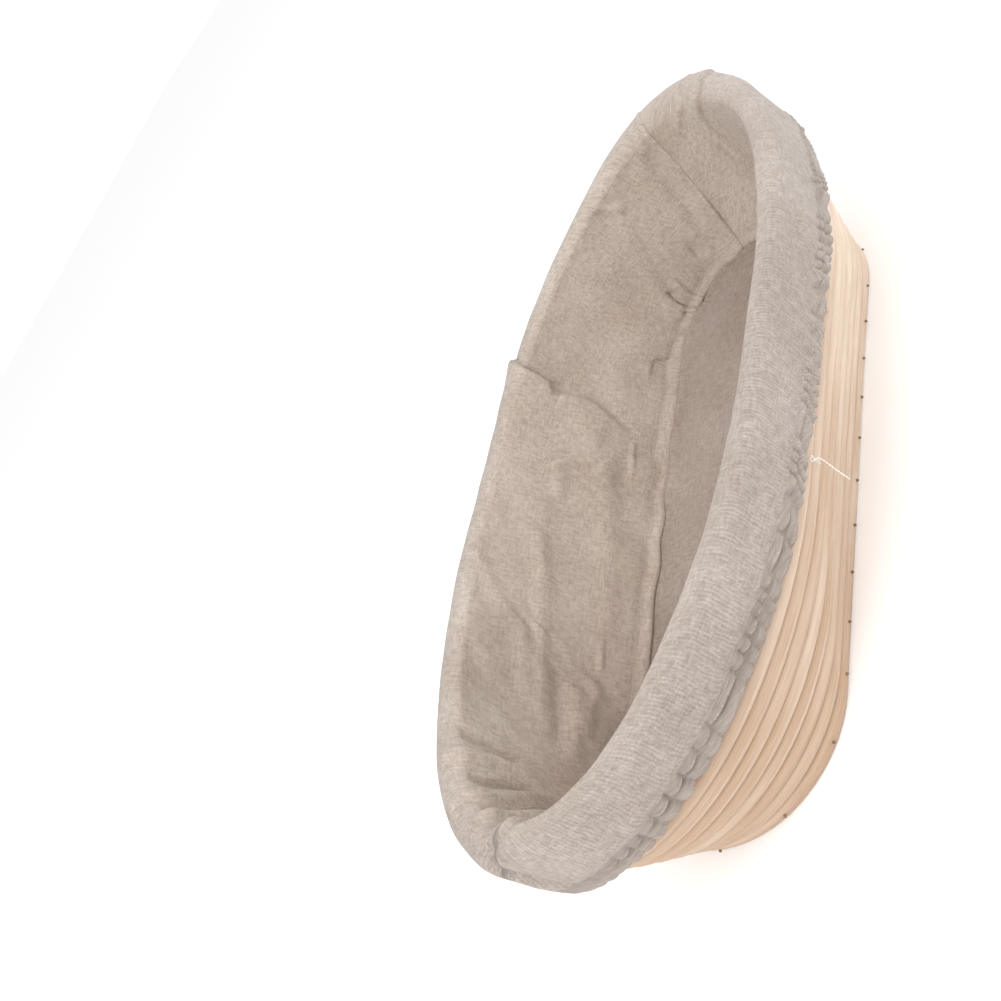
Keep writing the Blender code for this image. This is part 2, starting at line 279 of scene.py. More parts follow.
def cane_lengths():
    """Each length's name, with its centre line, its first and last turn, and the steps' lag."""
    yield "floor_cane", floor_centre, FLOOR_START, FLOOR_LOOPS + FLOOR_END, FLOOR_LAG
    lengths = WALL_TURNS // TURNS_PER_LENGTH
    for number in range(1, lengths + 1):
        start = (number - 1) * TURNS_PER_LENGTH + MIDDLE_OF_BACK
        stop = start + TURNS_PER_LENGTH
        if number == 1:
            start = FLOOR_END
        if number == lengths:
            stop = WALL_TURNS + WALL_END
        yield f"wall_cane_{number}", wall_centre, start, stop, 0.0


def make_canes(material):
    for seed, (node, centre, start, stop, lag) in enumerate(cane_lengths(), 1):
        mesh = cane_mesh(node + "_fine", centre, start + CANE_GAP, stop - CANE_GAP, lag, seed)
        piece = add_piece(node + "_fine", mesh, material, "basket")
        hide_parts(node)


def make_core(material):
    """The straight cane that the floor is coiled round."""
    x = np.linspace(-CORE_HALF_LENGTH, CORE_HALF_LENGTH, 40)
    angle = np.linspace(0, 2 * np.pi, CANE_SIDES + 1)
    ring = np.stack([np.zeros(CANE_SIDES), np.cos(angle[:-1]), np.sin(angle[:-1])], -1)
    points = ring[None] * CANE / 2 + np.array([0, 0, CANE / 2])
    points = points + np.stack([x, 0 * x, 0 * x], -1)[:, None, :]
    uv = np.stack(np.broadcast_arrays(x[:, None], angle[None, :] / (2 * np.pi)), -1)
    mesh = grid_mesh("core_cane_fine", points, uv, tube=True)
    face_outward(mesh)
    piece = add_piece("core_cane_fine", mesh, material, "basket")
    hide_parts("core_cane")


# Materials


class Nodes:
    """A short way to build a material's nodes."""

    def __init__(self, name):
        self.material = bpy.data.materials.new(name)
        self.material.use_nodes = True
        self.tree = self.material.node_tree
        self.shader = self.tree.nodes["Principled BSDF"]

    def add(self, kind, settings=None, **inputs):
        node = self.tree.nodes.new(kind)
        for key, value in (settings or {}).items():
            setattr(node, key, value)
        for key, value in inputs.items():
            self.feed(node.inputs[key.replace("_", " ")], value)
        return node

    def feed(self, socket, value):
        if isinstance(value, bpy.types.NodeSocket):
            self.tree.links.new(value, socket)
        else:
            socket.default_value = value

    def math(self, operation, first, second=0.0, clamp=False):
        node = self.tree.nodes.new("ShaderNodeMath")
        node.operation = operation
        node.use_clamp = clamp
        self.feed(node.inputs[0], first)
        self.feed(node.inputs[1], second)
        return node.outputs[0]

    def ramp(self, value, *stops):
        """A value turned into a colour through (position, colour) stops."""
        node = self.tree.nodes.new("ShaderNodeValToRGB")
        self.feed(node.inputs[0], value)
        band = node.color_ramp
        while len(band.elements) < len(stops):
            band.elements.new(0.5)
        for element, (position, colour) in zip(band.elements, stops):
            element.position = position
            element.color = (*colour, 1)
        return node.outputs[0]

    def blend(self, kind, share, first, second):
        node = self.tree.nodes.new("ShaderNodeMix")
        node.data_type = "RGBA"
        node.blend_type = kind
        self.feed(node.inputs["Factor"], share)
        self.feed(node.inputs["A"], first)
        self.feed(node.inputs["B"], second)
        return node.outputs["Result"]

    def noise(self, vector, scale, detail=2.0, roughness=0.5):
        node = self.add("ShaderNodeTexNoise", Vector=vector, Scale=scale, Detail=detail)
        node.inputs["Roughness"].default_value = roughness
        return node.outputs[0]

    def bump(self, height, distance, strength=1.0, under=None):
        node = self.add("ShaderNodeBump", Height=height, Distance=distance, Strength=strength)
        if under is not None:
            self.feed(node.inputs["Normal"], under)
        return node.outputs[0]

    def place_in_metres(self):
        """The x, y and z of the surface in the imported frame."""
        place = self.add("ShaderNodeTexCoord").outputs["Object"]
        return self.add("ShaderNodeSeparateXYZ", Vector=place).outputs

    def stretched(self, coordinate, x, y):
        node = self.add("ShaderNodeMapping", Vector=coordinate, Scale=(x, y, 1.0))
        return node.outputs[0]


def rattan():
    """Pale rattan: long fibres, slow random changes of colour, painted light that makes the right end
    lighter, and painted shade where turns meet.
    """
    nodes = Nodes("rattan_fine")
    place = nodes.add("ShaderNodeUVMap", {"uv_map": "metres"}).outputs[0]
    split = nodes.add("ShaderNodeSeparateXYZ", Vector=place)
    around = split.outputs[1]
    tone_and_painted_light = nodes.noise(nodes.stretched(place, 9.0, 1.2), 1.0, 2.0)
    fibre = nodes.noise(nodes.stretched(place, 60.0, 42.0), 1.0, 3.0, 0.6)
    flecks = nodes.noise(nodes.stretched(place, 170.0, 16.0), 1.0, 2.0)
    # Painted light: the canes are lighter towards the right end and browner towards the left.
    x = nodes.place_in_metres()[0]
    tone_and_painted_light = nodes.math("ADD", tone_and_painted_light, nodes.math("MULTIPLY", x, 1.3))
    base = nodes.ramp(tone_and_painted_light, (0.30, (0.490, 0.346, 0.244)), (0.70, (0.720, 0.606, 0.500)))
    streaks = nodes.ramp(fibre, (0.30, (0.80, 0.74, 0.66)), (0.62, (1.0, 1.0, 1.0)))
    colour = nodes.blend("MULTIPLY", 0.75, base, streaks)
    marks = nodes.ramp(flecks, (0.69, (1, 1, 1)), (0.78, (0.80, 0.66, 0.50)))
    colour = nodes.blend("MULTIPLY", 0.6, colour, marks)
    # Painted shade darkens the grooves, at a quarter and three quarters of the way round.
    side = nodes.math("ABSOLUTE", nodes.math("SINE", nodes.math("MULTIPLY", around, 2 * math.pi)))
    groove = nodes.math("POWER", side, 10.0)
    colour = nodes.blend("MIX", nodes.math("MULTIPLY", groove, 0.6), colour, (0.330, 0.190, 0.100, 1))
    nodes.feed(nodes.shader.inputs["Base Color"], colour)
    roughness = nodes.math("ADD", nodes.math("MULTIPLY", fibre, 0.25), 0.42)
    nodes.feed(nodes.shader.inputs["Roughness"], roughness)
    nodes.shader.inputs["Specular IOR Level"].default_value = 0.35
    nodes.feed(nodes.shader.inputs["Normal"], nodes.bump(fibre, 0.00025, 0.5))
    return nodes.material


INSIDE_COLOUR = (0.545, 0.468, 0.408)
OUTSIDE_COLOUR = (0.437, 0.386, 0.352)
# The floor panel's linen: the inside linen's hue, darker as painted shade deep in the basket.
SHADED_FLOOR_COLOUR = (0.395, 0.325, 0.280)
THREAD_PITCH = 0.00085
RIB_PITCH = 0.0013


def painted_end_shade_and_light(nodes, colour, turned_out):
    """Painted shade darkens the cloth low down at the left end; painted light makes the skirt palest at
    the right.
    """
    x, _y, z = nodes.place_in_metres()
    left = nodes.math("SUBTRACT", nodes.math("MULTIPLY", x, -9.0), 0.3, clamp=True)
    low = nodes.math("MULTIPLY", nodes.math("SUBTRACT", 0.072, z), 25.0, clamp=True)
    right = nodes.math("MULTIPLY", nodes.math("SUBTRACT", x, 0.03), 8.0, clamp=True)
    # Painted shade, low down at the left end.
    colour = nodes.blend("MULTIPLY", nodes.math("MULTIPLY", left, low), colour, (0.80, 0.73, 0.70, 1))
    # Painted light on the skirt at the right end.
    pale = nodes.math("MULTIPLY", right, turned_out)
    return nodes.blend("MULTIPLY", pale, colour, (1.2, 1.23, 1.25, 1))


def linen(name, inside, outside):
    """Coarse natural linen in plain weave, its threads uneven in thickness and colour."""
    nodes = Nodes(name)
    place = nodes.add("ShaderNodeUVMap", {"uv_map": "metres"}).outputs[0]
    split = nodes.add("ShaderNodeSeparateXYZ", Vector=place)
    u, v = split.outputs[0], split.outputs[1]
    # Threads wander a little, so the weave never lines up for long.
    drift = nodes.noise(nodes.stretched(place, 260.0, 260.0), 1.0, 2.0)
    phase = nodes.math("MULTIPLY", nodes.math("SUBTRACT", drift, 0.5), 9.0)
    turn = 2 * math.pi / THREAD_PITCH
    along = nodes.math("SINE", nodes.math("ADD", nodes.math("MULTIPLY", u, turn), phase))
    across = nodes.math("SINE", nodes.math("SUBTRACT", nodes.math("MULTIPLY", v, turn), phase))
    weave = nodes.math("MULTIPLY", along, across)
    thick_u = nodes.noise(nodes.stretched(place, 1000.0, 240.0), 1.0, 2.0)
    thick_v = nodes.noise(nodes.stretched(place, 260.0, 950.0), 1.0, 2.0)
    warp = nodes.math("MULTIPLY", thick_u, 0.55)
    weft = nodes.math("MULTIPLY", thick_v, 0.45)
    threads = nodes.math("ADD", warp, weft)
    # Stretched over the rim, the threads that run down the skirt stand out as ribs.
    rib = nodes.math("SINE", nodes.math("ADD", nodes.math("MULTIPLY", u, 2 * math.pi / RIB_PITCH), phase))
    uneven = nodes.math("SUBTRACT", nodes.noise(nodes.stretched(place, 420.0, 130.0), 1.0), 0.1)
    rib = nodes.math("MULTIPLY", rib, uneven)
    ribs = nodes.ramp(rib, (0.0, (0.90, 0.89, 0.88)), (0.45, (1.10, 1.10, 1.10)))
    fuzz = nodes.noise(nodes.stretched(place, 1600.0, 1600.0), 1.0, 2.0)
    patches = nodes.noise(nodes.stretched(place, 24.0, 24.0), 1.0, 4.0, 0.6)
    knots = nodes.noise(nodes.stretched(place, 330.0, 330.0), 1.0, 1.0)
    turned_out = nodes.math("ADD", nodes.math("MULTIPLY", v, 90.0), 0.8, clamp=True)
    base = nodes.blend("MIX", turned_out, (*inside, 1), (*outside, 1))
    streaks = nodes.ramp(threads, (0.36, (0.80, 0.78, 0.76)), (0.62, (1.10, 1.10, 1.10)))
    colour = nodes.blend("MULTIPLY", 1.0, base, streaks)
    cloudy = nodes.ramp(patches, (0.35, (0.88, 0.86, 0.84)), (0.66, (1.06, 1.07, 1.08)))
    colour = nodes.blend("MULTIPLY", 1.0, colour, cloudy)
    colour = nodes.blend("MULTIPLY", nodes.math("MULTIPLY", turned_out, 0.8), colour, ribs)
    grain = nodes.ramp(fuzz, (0.32, (0.86, 0.85, 0.84)), (0.62, (1.04, 1.04, 1.04)))
    colour = nodes.blend("MULTIPLY", 1.0, colour, grain)
    # Painted shade in the pits of the weave, between the threads.
    weave_pit_shade = nodes.ramp(weave, (0.0, (0.90, 0.89, 0.88)), (0.5, (1.0, 1.0, 1.0)))
    colour = nodes.blend("MULTIPLY", 0.8, colour, weave_pit_shade)
    specks = nodes.ramp(knots, (0.845, (1, 1, 1)), (0.87, (0.55, 0.42, 0.32)))
    colour = nodes.blend("MULTIPLY", 0.7, colour, specks)
    # The cloth's colour, with painted shade at the left end and painted light on the skirt at the right.
    nodes.feed(nodes.shader.inputs["Base Color"], painted_end_shade_and_light(nodes, colour, turned_out))
    nodes.shader.inputs["Roughness"].default_value = 0.92
    nodes.shader.inputs["Specular IOR Level"].default_value = 0.2
    nodes.shader.inputs["Sheen Weight"].default_value = 0.15
    nodes.shader.inputs["Sheen Roughness"].default_value = 0.5
    first = nodes.bump(threads, 0.0005, 0.5)
    nodes.feed(nodes.shader.inputs["Normal"], nodes.bump(weave, 0.00018, 0.6, under=first))
    return nodes.material


def steel():
    nodes = Nodes("brad_steel_dull")
    place = nodes.add("ShaderNodeTexCoord").outputs["Object"]
    spots = nodes.noise(place, 900.0, 3.0)
    colour = nodes.ramp(spots, (0.4, (0.20, 0.13, 0.08)), (0.7, (0.32, 0.23, 0.16)))
    nodes.feed(nodes.shader.inputs["Base Color"], colour)
    nodes.shader.inputs["Metallic"].default_value = 0.4
    nodes.shader.inputs["Roughness"].default_value = 0.5
    return nodes.material


BRAD_SLIMNESS = 0.62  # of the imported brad's width
BRAD_SUNK = 0.0003


def make_brads(material):
    """Each brad as slim as its head looks, sunk a little into the cane."""
    for name, node in list(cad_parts.items()):
        if "brad" not in name:
            continue
        points = np.array([node.matrix_world @ vertex.co for vertex in node.data.vertices])
        middle = (points.min(axis=0) + points.max(axis=0)) / 2
        axis = np.linalg.svd(points - middle)[2][0]
        axis *= np.sign(axis @ (middle * np.array([1, 1, 0])))
        along = (points - middle) @ axis
        slim = middle + np.outer(along, axis) * (1 - BRAD_SLIMNESS)
        slim += (points - middle) * BRAD_SLIMNESS - BRAD_SUNK * axis
        mesh = bpy.data.meshes.new(name + "_fine")
        faces = [list(face.vertices) for face in node.data.polygons]
        mesh.from_pydata(slim.tolist(), [], faces)
        mesh.shade_smooth()
        piece = add_piece(name + "_fine", mesh, material, "basket")
        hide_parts(name)


def darken_pins(material):
    """The pins at the lengths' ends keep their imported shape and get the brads' steel."""
    for name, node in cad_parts.items():
        if "pin" in name:
            for place in node.material_slots:
                place.material = material


def elastic():
    """White ribbed elastic."""
    nodes = Nodes("elastic_fine")
    place = nodes.add("ShaderNodeTexCoord").outputs["Object"]
    ribs = nodes.add("ShaderNodeTexWave", {"bands_direction": "Z"}, Vector=place, Scale=320.0)
    # Painted shade darkens the grooves between the ribs.
    colour = nodes.ramp(ribs.outputs[0], (0.2, (0.62, 0.60, 0.56)), (0.7, (0.82, 0.80, 0.76)))
    nodes.feed(nodes.shader.inputs["Base Color"], colour)
    nodes.shader.inputs["Roughness"].default_value = 0.8
    nodes.feed(nodes.shader.inputs["Normal"], nodes.bump(ribs.outputs[0], 0.0002, 0.5))
    return nodes.material


# The liner


def hump(lap, place, width):
    """1 at a place round the lap, falling away to nothing over about twice the width."""
    away = np.abs((lap - place + 0.5) % 1 - 0.5)
    return np.exp(-((away / width) ** 2))


CORNER_CUT = np.linspace(-0.024, 0.024, 5)  # laps over which cloth cuts the oval's corners


def cut_corners(lap, height, outward):
    """(x, y) as wall gives it, but with the oval's corners cut as stretched cloth cuts them."""
    return np.mean([wall(lap + shift, height, outward) for shift in CORNER_CUT], axis=0)


def liner_seam(lap):
    """Where the side panels meet the floor panel: a line that wanders a little."""
    wander = 0.0008 * np.sin(2 * np.pi * (15 * lap + 0.7 * np.sin(2 * np.pi * 4 * lap)))
    x, y = cut_corners(lap, CANE * 1.1, wander - CANE - SEAM_CLEARANCE)
    return np.stack([x, y, LINER_FLOOR + FLOOR_TILT * x], -1)


def rim_slack(lap):
    """How far the cloth stands off the rim, outwards and upwards: it is loose at both ends."""
    outward = 0.0030 * hump(lap, 0.455, 0.045) + 0.0040 * hump(lap, 0.01, 0.045)
    upward = 0.0010 * hump(lap, 0.46, 0.05) + 0.0038 * hump(lap, 0.01, 0.045)
    return outward, upward


def hem_stand(lap):
    """How far the hem stands off the wood."""
    return 0.0010 + 0.0030 * hump(lap, 0.46, 0.07) + 0.0030 * hump(lap, 0.0, 0.07)


def hem_height(lap):
    """The elastic rides up round the front of the left end and a little beyond."""
    return SKIRT_HEM + 0.0045 * hump(lap, 0.555, 0.05) + 0.0028 * hump(lap, 0.630, 0.035)


def liner_profile(lap):
    """Points of the smooth liner, [row, column, 3], from the floor seam to the ruffle's edge."""
    outward, upward = rim_slack(lap)
    rim_height = np.full_like(lap, RIM_TOP - CANE / 2)
    rows = []
    seam = liner_seam(lap)
    inside = cut_corners(lap, RIM_TOP, ROLL * math.cos(ROLL_START) - CANE / 2)
    inside = np.stack([*inside, rim_height + ROLL * math.sin(ROLL_START)], -1)
    for share in np.linspace(0, 1, INNER_ROWS, endpoint=False):
        point = mix(seam, inside, share)
        belly = 1 + 0.020 * np.sin(np.pi * share) ** 0.8
        rows.append(point * np.array([belly, belly, 1.0]))
    for angle in np.linspace(ROLL_START, 0, ROLL_ROWS, endpoint=False):
        slack = outward * smooth(0.5 + 0.5 * math.cos(angle))
        beyond = slack - CANE / 2 + ROLL * math.cos(angle)
        cut = smooth(math.cos(angle) / math.cos(ROLL_START))
        x, y = mix(np.array(wall(lap, RIM_TOP, beyond)), cut_corners(lap, RIM_TOP, beyond), cut)
        lifted = upward * smooth((ROLL_START - angle) / 0.9)
        height = rim_height + (ROLL + lifted) * math.sin(angle)
        rows.append(np.stack([x, y, height], -1))
    stand = CLOTH + hem_stand(lap)
    hem = hem_height(lap)
    for share in np.linspace(0, 1, SKIRT_ROWS, endpoint=False):
        height = mix(rim_height, hem, share)
        x, y = wall(lap, height, mix(outward + ROLL - CANE / 2, stand, smooth(share)))
        rows.append(np.stack([x, y, height], -1))
    edge = RUFFLE + 0.0009 * noise(lap * 256, 0.5, 31) + 0.0007 * noise(lap * 128, 0.5, 32)
    for share in np.linspace(0, 1, RUFFLE_ROWS):
        height = hem - edge * share
        x, y = wall(lap, height, stand + 0.0007 * share)
        rows.append(np.stack([x, y, height], -1))
    return np.array(rows)


def surface_normals(points):
    """Unit normals of a grid of points, on the side away from the wood."""
    down = np.gradient(points, axis=0)
    round_lap = np.gradient(points, axis=1)
    normal = np.cross(down, round_lap)
    return normal / np.linalg.norm(normal, axis=2, keepdims=True)


def from_rim(points):
    """Distance along the cloth from the top of the rim: negative inside, positive outside."""
    step = np.linalg.norm(np.diff(points, axis=0), axis=2).mean(axis=1)
    length = np.concatenate([[0], np.cumsum(step)])
    return length - length[INNER_ROWS + ROLL_ROWS // 2]


def curve_through(places, around):
    """A fold's line over the flat cloth in metres, from (lap, millimetres from the rim)."""
    lap, depth = np.array(places, float).T
    curve = np.stack([around(lap), depth / 1000], -1)
    for _ in range(2):
        cut = [mix(curve[:-1], curve[1:], share) for share in (0.25, 0.75)]
        curve = np.concatenate([curve[:1], np.stack(cut, 1).reshape(-1, 2), curve[-1:]])
    return curve


def from_curve(curve, u, v):
    """Distance of each place from the curve and how far along it that is, from 0 to 1. For a
    line down from the rim the distance is positive on the side of the larger laps."""
    closest = np.full(u.shape, np.inf)
    signed, along = np.zeros(u.shape), np.zeros(u.shape)
    for k, (start, end) in enumerate(zip(curve[:-1], curve[1:])):
        run = end - start
        du, dv = u - start[0], v - start[1]
        t = np.clip((du * run[0] + dv * run[1]) / (run @ run), 0, 1)
        away = np.hypot(du - t * run[0], dv - t * run[1])
        nearer = away < closest
        side = np.sign(dv * run[0] - du * run[1])
        closest = np.where(nearer, away, closest)
        signed = np.where(nearer, side * away, signed)
        along = np.where(nearer, (k + t) / (len(curve) - 1), along)
    return signed, along


def fade_ends(along):
    return smooth(along / 0.15) * smooth((1 - along) / 0.25)


class Folds:
    """Creases, tucks and soft ridges, added up over the cloth: u and v are metres round the rim
    and metres from it, and each fold runs through (lap, millimetres from the rim) places."""

    def __init__(self, u, v, around):
        self.u, self.v, self.around = u, v, around
        self.wobble = 0.0010 * noise(u / 0.012, v / 0.012, 21)
        self.total = np.zeros(u.shape)

    def add(self, places, reach, shape):
        curve = curve_through(places, self.around)
        low, high = curve.min(axis=0) - reach, curve.max(axis=0) + reach
        near = (self.u > low[0]) & (self.u < high[0]) & (self.v > low[1]) & (self.v < high[1])
        signed, along = from_curve(curve, self.u[near], self.v[near])
        away = (signed + self.wobble[near]) * 1000
        self.total[near] += shape(away) * fade_ends(along) / 1000

    def ridge(self, height, width, *places):
        """height and width in millimetres: a negative height is a hollow."""
        self.add(places, width * 0.003, lambda away: height * np.exp(-((away / width) ** 2)))

    def tuck(self, height, reach, *places):
        """Cloth pushed over itself: a step up on the side of the larger laps that dies away."""

        def shape(away):
            far = np.maximum(away, 0)
            step = smooth(far / 1.3) * np.exp(-far / reach)
            return height * (step - 0.30 * np.exp(-((away / 1.2) ** 2)))

        self.add(places, reach * 0.005, shape)


def fold_big_tuck(cloth):
    """The big tuck down from the back rim, with a second ridge beside it."""
    cloth.tuck(3.0, 12.0, (0.106, 6), (0.112, -6), (0.125, -21), (0.137, -35), (0.148, -45),
               (0.168, -54), (0.188, -67))
    cloth.ridge(0.9, 3.2, (0.137, -29), (0.158, -38), (0.182, -46), (0.198, -53))
    cloth.ridge(-1.3, 2.4, (0.207, -68), (0.208, -74), (0.206, -81), (0.199, -86))
    cloth.ridge(0.9, 3.6, (0.215, -66), (0.214, -74), (0.212, -82))


def fold_back(cloth):
    """Soft ridges and hollows along the back."""
    cloth.ridge(0.9, 4.5, (0.215, -54), (0.237, -57), (0.296, -63), (0.355, -68))
    cloth.ridge(0.9, 4.5, (0.218, -35), (0.231, -36), (0.265, -38))
    cloth.ridge(1.0, 4.0, (0.310, -33), (0.324, -34), (0.373, -39), (0.385, -41))
    cloth.ridge(0.9, 4.0, (0.385, -31), (0.396, -33), (0.411, -37), (0.418, -40))
    cloth.ridge(0.8, 4.0, (0.296, -6), (0.286, -22), (0.283, -36))
    cloth.ridge(-1.0, 2.6, (0.363, -66), (0.359, -70), (0.343, -78), (0.330, -85))
    cloth.ridge(1.0, 3.4, (0.371, -64), (0.366, -71), (0.351, -79), (0.340, -85))


def fold_left_end(cloth):
    """The left end is crushed into ridges that run down from the rim."""
    cloth.ridge(-3.2, 3.0, (0.434, -1), (0.436, -7), (0.437, -16), (0.440, -24), (0.441, -32))
    cloth.ridge(2.6, 3.0, (0.444, -1), (0.444, -5), (0.445, -10), (0.4435, -23), (0.446, -30),
                (0.455, -40))
    cloth.ridge(-3.2, 2.4, (0.451, -1), (0.452, -5), (0.4555, -14), (0.452, -26), (0.456, -36))
    cloth.ridge(2.7, 2.9, (0.463, 0), (0.463, -4), (0.4645, -14), (0.459, -27), (0.456, -46))
    cloth.ridge(-3.2, 2.4, (0.471, 0), (0.4715, -5), (0.471, -15), (0.467, -26), (0.463, -40))
    cloth.ridge(2.4, 2.9, (0.478, 1), (0.478, -5), (0.479, -15), (0.476, -27), (0.472, -44))
    cloth.ridge(-2.2, 2.6, (0.486, -2), (0.486, -9), (0.486, -20), (0.483, -32))
    cloth.ridge(1.5, 3.4, (0.392, -57), (0.401, -57), (0.418, -54), (0.436, -53))
    cloth.ridge(-1.2, 3.4, (0.390, -49), (0.405, -50), (0.428, -47))
    cloth.ridge(1.4, 3.0, (0.380, -65), (0.388, -64), (0.409, -60), (0.416, -59))
    cloth.ridge(1.2, 3.6, (0.380, -39), (0.389, -40), (0.414, -43), (0.422, -45))
    cloth.ridge(-1.3, 3.6, (0.390, -77), (0.401, -75), (0.418, -69), (0.428, -66))


def fold_left_seam(cloth):
    """Round the left seam the front panel lies over the back one."""
    cloth.tuck(2.5, 8.0, (0.4975, -20), (0.497, -9), (0.4945, -1), (0.4905, 1.5), (0.491, 4), (0.4955, 8),
               (0.498, 13), (0.5015, 18), (0.507, 26))


def fold_right_end(cloth):
    """The right end: a light ridge down its seam, a hollow beside it, and cloth drawn to the rim."""
    cloth.ridge(1.3, 2.2, (0.0130, 0), (0.0126, -21), (0.0135, -50), (0.0160, -84))
    cloth.ridge(-1.6, 4.6, (0.032, -80), (0.028, -60), (0.022, -30), (0.019, -12))
    cloth.tuck(1.9, 11.0, (0.966, 3), (0.969, -4), (0.976, -16), (0.976, -33), (0.965, -46))
    cloth.ridge(1.5, 2.8, (0.978, 0), (0.983, -4), (0.994, -13), (1.000, -20))
    cloth.ridge(-1.0, 4.0, (0.045, -66), (0.032, -70), (0.020, -77))
    cloth.ridge(-2.0, 2.2, (0.074, -66), (0.0815, -77), (0.080, -86))
    cloth.ridge(1.2, 3.0, (0.066, -64), (0.073, -76), (0.071, -86))
    cloth.ridge(-1.8, 2.6, (0.084, -80), (0.092, -83), (0.112, -87))
    cloth.ridge(-1.2, 2.4, (0.128, -70), (0.130, -78), (0.133, -86))
    cloth.ridge(0.9, 2.4, (0.056, -3), (0.052, -10), (0.046, -24))


def fold_skirt(cloth):
    """Drag lines across the skirt at the right end, and small ones along the front."""
    cloth.ridge(1.0, 2.0, (0.893, -3), (0.896, 3), (0.902, 11), (0.909, 24))
    cloth.ridge(-0.8, 2.0, (0.888, 2), (0.896, 13), (0.902, 26))
    cloth.ridge(1.0, 1.8, (0.886, 11), (0.879, 23), (0.874, 33))
    cloth.ridge(0.9, 1.8, (0.886, 13), (0.872, 20), (0.845, 32))
    cloth.ridge(0.8, 2.0, (0.820, 11), (0.808, 14), (0.786, 20), (0.776, 26))
    cloth.ridge(0.7, 2.2, (0.930, 4), (0.925, 16), (0.929, 29))
    cloth.ridge(0.6, 2.4, (0.665, 6), (0.655, 16), (0.652, 29))
    cloth.ridge(0.8, 2.6, (0.545, 8), (0.535, 16), (0.531, 28))


def folds(u, v, around):
    """All the folds pressed into this liner."""
    cloth = Folds(u, v, around)
    fold_big_tuck(cloth)
    fold_back(cloth)
    fold_left_end(cloth)
    fold_left_seam(cloth)
    fold_right_end(cloth)
    fold_skirt(cloth)
    return cloth.total


def seam_groove(away, depth):
    """The stitched seam between two side panels, drawn in with a little puckering."""
    away = away * 1000
    stitch = 0.5 + 0.5 * np.cos(2 * np.pi * depth / 0.0032)
    groove = -0.0006 * np.exp(-((away / 0.8) ** 2))
    edge = 0.0006 * np.exp(-(((away - 1.6) / 1.1) ** 2)) * (0.6 + 0.4 * stitch)
    return groove + edge


def gathered_skirt(u, depth, hem, around):
    """The elastic gathers the hem into pillows, except round the left end, where it is smooth."""
    up = hem - depth  # above the elastic
    beat = u / 0.0070 + 1.3 * noise(u / 0.016, up / 0.03, 3)
    pillow = np.abs(np.sin(np.pi * beat)) ** 0.7
    strength = 1.25 + 0.60 * noise(u / 0.012, 2.5, 4)
    strength *= 1 - 0.93 * np.exp(-(((u - around(0.466)) / 0.062) ** 4))
    outside = smooth((depth - 0.004) / 0.006)
    reach = 0.003 + 0.005 * np.abs(noise(u / 0.011, 4.5, 12))
    gathers = 0.0013 * (pillow - 0.6) * np.exp(-np.abs(up) / reach)
    channel = 0.0013 * (pillow - 0.3) * np.exp(-(((up - 0.0022) / 0.0018) ** 2))
    pinch = -0.0011 * np.exp(-((up / 0.0009) ** 2))
    frill = 0.0010 * smooth(-up / 0.004) * (pillow - 0.5)
    skirt = outside * strength * (gathers + channel + pinch + frill)
    return skirt + outside * 0.0006 * noise(u / 0.020, depth / 0.010, 5)


def floor_seam_lip(u, above_seam):
    """The seam's turned-in edges stand out just above the floor, with a dip above them."""
    uneven = 0.75 + 0.35 * noise(u / 0.011, 3.5, 13)
    lip = 0.0010 * uneven * np.exp(-(((above_seam - 0.0016) / 0.0014) ** 2))
    return lip - 0.0006 * np.exp(-(((above_seam - 0.0055) / 0.0025) ** 2))


def slack_inside(u, depth):
    """Slow, slanting unevenness of the cloth that hangs loose inside."""
    inside = smooth((-depth - 0.004) / 0.010)
    slant = depth + 0.45 * u
    soft = 0.0013 * noise((u - 0.6 * depth) / 0.045, slant / 0.034, 6)
    soft += 0.0006 * noise((u + 0.8 * depth) / 0.016, (slant + 0.3 * u) / 0.020, 9)
    return inside * soft


def rumple(u, depth, hem, around):
    """How far the cloth stands out from its smooth shape."""
    above_seam = depth - depth[0, 0]
    lift = gathered_skirt(u, depth, hem, around) + floor_seam_lip(u, above_seam)
    lift += slack_inside(u, depth)
    lift += 0.00020 * noise(u / 0.010, depth / 0.010, 7)
    lift += 0.0004 * noise(u / 0.03, depth / 0.02, 8)
    lift += folds(u, depth, around)
    for seam in (u[0, 0], u[0, -1]):
        lift += seam_groove(u - seam, depth)
    lift += smooth((-depth - 0.010) / 0.008) * seam_groove(u - around(LEFT_SEAM), depth)
    # The cloth can't sink into the wood, but inside the basket it hangs clear of it.
    lowest = mix(-0.0004, -0.0034, smooth((-depth - 0.002) / 0.014) * smooth(above_seam / 0.012))
    softness = 0.0002
    return lowest + softness * np.logaddexp(0, (lift - lowest) / softness)


def liner_laps():
    """Where the columns of cloth stand: close together where the rim curves."""
    lap = np.linspace(RIGHT_SEAM, 1 + RIGHT_SEAM, 4 * LINER_COLUMNS)
    measure = np.zeros(len(lap))
    for height, weight in ((RIM_TOP, 0.7), (CANE, 0.3)):
        step = np.hypot(*np.diff(wall(lap, height, 0.0)))
        measure[1:] += weight * np.cumsum(step)
    columns = np.interp(np.linspace(0, measure[-1], LINER_COLUMNS + 1), measure, lap)
    split = int(np.searchsorted(columns, LEFT_SEAM))
    columns[split] = LEFT_SEAM
    return columns, split


